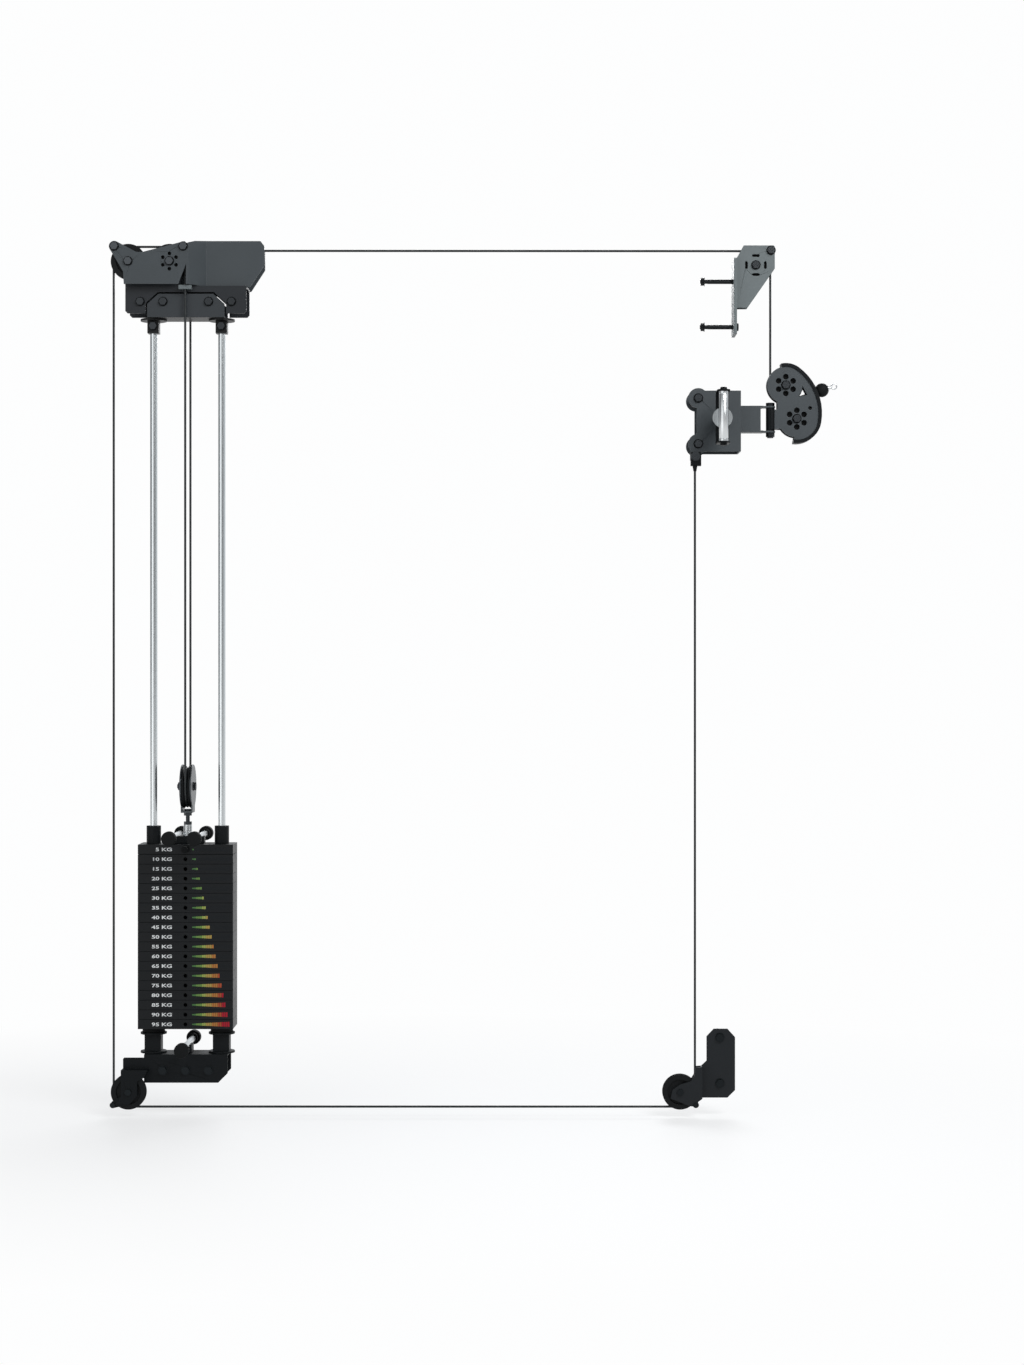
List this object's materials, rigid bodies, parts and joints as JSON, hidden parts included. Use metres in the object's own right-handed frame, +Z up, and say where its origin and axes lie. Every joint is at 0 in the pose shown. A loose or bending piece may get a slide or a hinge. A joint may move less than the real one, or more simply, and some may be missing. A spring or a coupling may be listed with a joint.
{
  "type": "cable pulley attachment",
  "caption": "Rack-mounted weight stack and cable system: guide rods, pulley brackets, a height-adjustable trolley and a swivelling double-pulley head.",
  "frame": {"origin": "centre of the lower stack bracket's bolt pattern, in the middle of the bottom beam", "axes": "+X towards the front upright, +Z up, -Y is the side with the pull handle"},
  "size_m": [1.9155, 0.3148, 2.283],
  "materials": {
    "slate_paint": "satin slate powder coat",
    "dark_paint": "satin dark grey powder coat",
    "grey_paint": "satin grey powder coat",
    "black_paint": "satin black powder coat",
    "plate_iron": "black painted steel",
    "pulley_plastic": "black nylon",
    "cable_coat": "black coated steel cable",
    "black_bolt": "black oxide",
    "rod_chrome": "polished",
    "stem_steel": "turned",
    "yoke_steel": "brushed",
    "black_rubber": "matt",
    "glide_plastic": "white nylon",
    "grip_alu": "knurled",
    "fitting_steel": "plated"
  },
  "bodies": {
    "rack_mounted": {"upper_saddle": "dark_paint", "housing_near_plate": "slate_paint", "housing_far_plate": "slate_paint", "housing_bolts": "black_bolt", "rod_holder": "dark_paint", "beam_bolts": "black_bolt", "rod_bolts": "black_bolt", "fall_guides": "grey_paint", "guide_rods": "rod_chrome", "lower_bracket": "black_paint", "lower_bracket_bolts": "black_bolt", "stack_posts": "black_paint", "stack_buffers": "black_rubber", "lower_band_peg": "fitting_steel", "lower_front_bracket": "black_paint", "lower_front_bolts": "black_bolt", "upper_front_bracket": "grey_paint", "upper_front_bolts": "black_bolt", "cable_anchor_side": "cable_coat", "cable_top_bends": "cable_coat", "cable_top_run": "cable_coat", "cable_riser": "cable_coat", "cable_falls": "cable_coat", "cable_drop": "cable_coat", "weight_plates": "plate_iron"},
    "lifted_stack": {"top_plate": "plate_iron", "selector_stem": "stem_steel", "rod_collars": "black_paint", "upper_band_pegs": "fitting_steel", "floating_yoke": "yoke_steel", "yoke_fasteners": "black_bolt", "cable_float_loop": "cable_coat"},
    "selector": {"selector_pin": "black_rubber"},
    "floating_wheel": {"floating_pulley": "pulley_plastic"},
    "trolley": {"trolley_carriage": "slate_paint", "trolley_glides": "glide_plastic", "trolley_bolts": "black_bolt", "cable_anchor": "black_paint", "pin_housing": "black_paint", "pin_spring": "fitting_steel", "swivel_arm": "slate_paint", "pivot_bolt": "black_bolt"},
    "pull_handle": {"pull_pin": "rod_chrome", "pull_grip": "grip_alu"},
    "roller_high": {"upper_roller": "pulley_plastic"},
    "roller_low": {"lower_roller": "pulley_plastic"},
    "head": {"head_plates": "slate_paint", "head_frame": "black_paint", "head_axles": "black_bolt", "cable_head": "cable_coat", "cable_stub": "cable_coat"},
    "head_wheel_high": {"swivel_upper_pulley": "pulley_plastic"},
    "head_wheel_low": {"swivel_lower_pulley": "pulley_plastic"},
    "pull_end": {"cable_end": "black_rubber"},
    "wheel_rear_top": {"rear_top_pulley": "pulley_plastic"},
    "wheel_near_top": {"near_top_pulley": "pulley_plastic"},
    "wheel_far_top": {"far_top_pulley": "pulley_plastic"},
    "wheel_rear_low": {"lower_rear_pulley": "pulley_plastic"},
    "wheel_front_low": {"lower_front_pulley": "pulley_plastic"},
    "wheel_front_top": {"upper_front_pulley": "pulley_plastic"}
  },
  "joints": [
    {"name": "stack_lift", "type": "slide", "parent": "rack_mounted", "child": "lifted_stack", "axis": [0, 0, 1], "range_m": [0, 1.15], "deforming": ["cable_falls"]},
    {"name": "selector_draw", "type": "slide", "parent": "lifted_stack", "child": "selector", "axis": [0, -1, 0], "range_m": [0, 0.085]},
    {"name": "floating_spin", "type": "hinge", "parent": "lifted_stack", "child": "floating_wheel", "pos_m": [0, 0, 0.7445], "axis": [1, 0, 0], "continuous": true},
    {"name": "trolley_slide", "type": "slide", "parent": "rack_mounted", "child": "trolley", "axis": [0, 0, 1], "range_m": [-1.45, 0.1], "deforming": ["cable_riser", "cable_drop"]},
    {"name": "handle_pull", "type": "slide", "parent": "trolley", "child": "pull_handle", "axis": [0, -1, 0], "range_m": [0, 0.028], "stiffness_N_per_m": 900, "springref_m": -0.01, "deforming": ["pin_spring"]},
    {"name": "roller_high_spin", "type": "hinge", "parent": "trolley", "child": "roller_high", "pos_m": [1.3466, 0, 1.766], "axis": [0, 1, 0], "continuous": true},
    {"name": "roller_low_spin", "type": "hinge", "parent": "trolley", "child": "roller_low", "pos_m": [1.3466, 0, 1.646], "axis": [0, 1, 0], "continuous": true},
    {"name": "head_swivel", "type": "hinge", "parent": "trolley", "child": "head", "pos_m": [1.54, 0, 1.714], "axis": [0, 0, 1], "range_deg": [-90, 90]},
    {"name": "head_high_spin", "type": "hinge", "parent": "head", "child": "head_wheel_high", "pos_m": [1.5795, 0, 1.8035], "axis": [0, 1, 0], "continuous": true},
    {"name": "head_low_spin", "type": "hinge", "parent": "head", "child": "head_wheel_low", "pos_m": [1.6085, 0, 1.715], "axis": [0, 1, 0], "continuous": true},
    {"name": "cable_pull", "type": "slide", "parent": "head", "child": "pull_end", "axis": [0.9563, 0, 0.2924], "range_m": [0, 2.3], "deforming": ["cable_stub"]},
    {"name": "rear_top_spin", "type": "hinge", "parent": "rack_mounted", "child": "wheel_rear_top", "pos_m": [-0.148, -0.053, 2.122], "axis": [0, 1, 0], "continuous": true},
    {"name": "near_top_spin", "type": "hinge", "parent": "rack_mounted", "child": "wheel_near_top", "pos_m": [-0.0395, -0.053, 2.122], "axis": [0, 1, 0], "continuous": true},
    {"name": "far_top_spin", "type": "hinge", "parent": "rack_mounted", "child": "wheel_far_top", "pos_m": [0.0395, 0.053, 2.13], "axis": [0, 1, 0], "continuous": true},
    {"name": "rear_low_spin", "type": "hinge", "parent": "rack_mounted", "child": "wheel_rear_low", "pos_m": [-0.148, -0.053, -0.054], "axis": [0, 1, 0], "continuous": true},
    {"name": "front_low_spin", "type": "hinge", "parent": "rack_mounted", "child": "wheel_front_low", "pos_m": [1.2975, -0.053, -0.054], "axis": [0, 1, 0], "continuous": true},
    {"name": "front_top_spin", "type": "hinge", "parent": "rack_mounted", "child": "wheel_front_top", "pos_m": [1.5005, 0, 2.12], "axis": [0, 1, 0], "continuous": true}
  ],
  "couplings": [
    {"joint": "floating_spin", "follows": "stack_lift", "rad_per_m": 18.868},
    {"joint": "far_top_spin", "follows": "stack_lift", "rad_per_m": 50.633},
    {"joint": "front_top_spin", "follows": "stack_lift", "rad_per_m": 50.633},
    {"joint": "head_high_spin", "follows": "stack_lift", "rad_per_m": -50.633},
    {"joint": "cable_pull", "follows": "stack_lift", "ratio": 2},
    {"joint": "front_low_spin", "follows": "trolley_slide", "rad_per_m": -25.317},
    {"joint": "rear_low_spin", "follows": "trolley_slide", "rad_per_m": -25.317},
    {"joint": "rear_top_spin", "follows": "trolley_slide", "rad_per_m": -25.317},
    {"joint": "near_top_spin", "follows": "trolley_slide", "rad_per_m": -25.317},
    {"joint": "roller_high_spin", "follows": "trolley_slide", "rad_per_m": 52.632},
    {"joint": "roller_low_spin", "follows": "trolley_slide", "rad_per_m": 52.632}
  ]
}
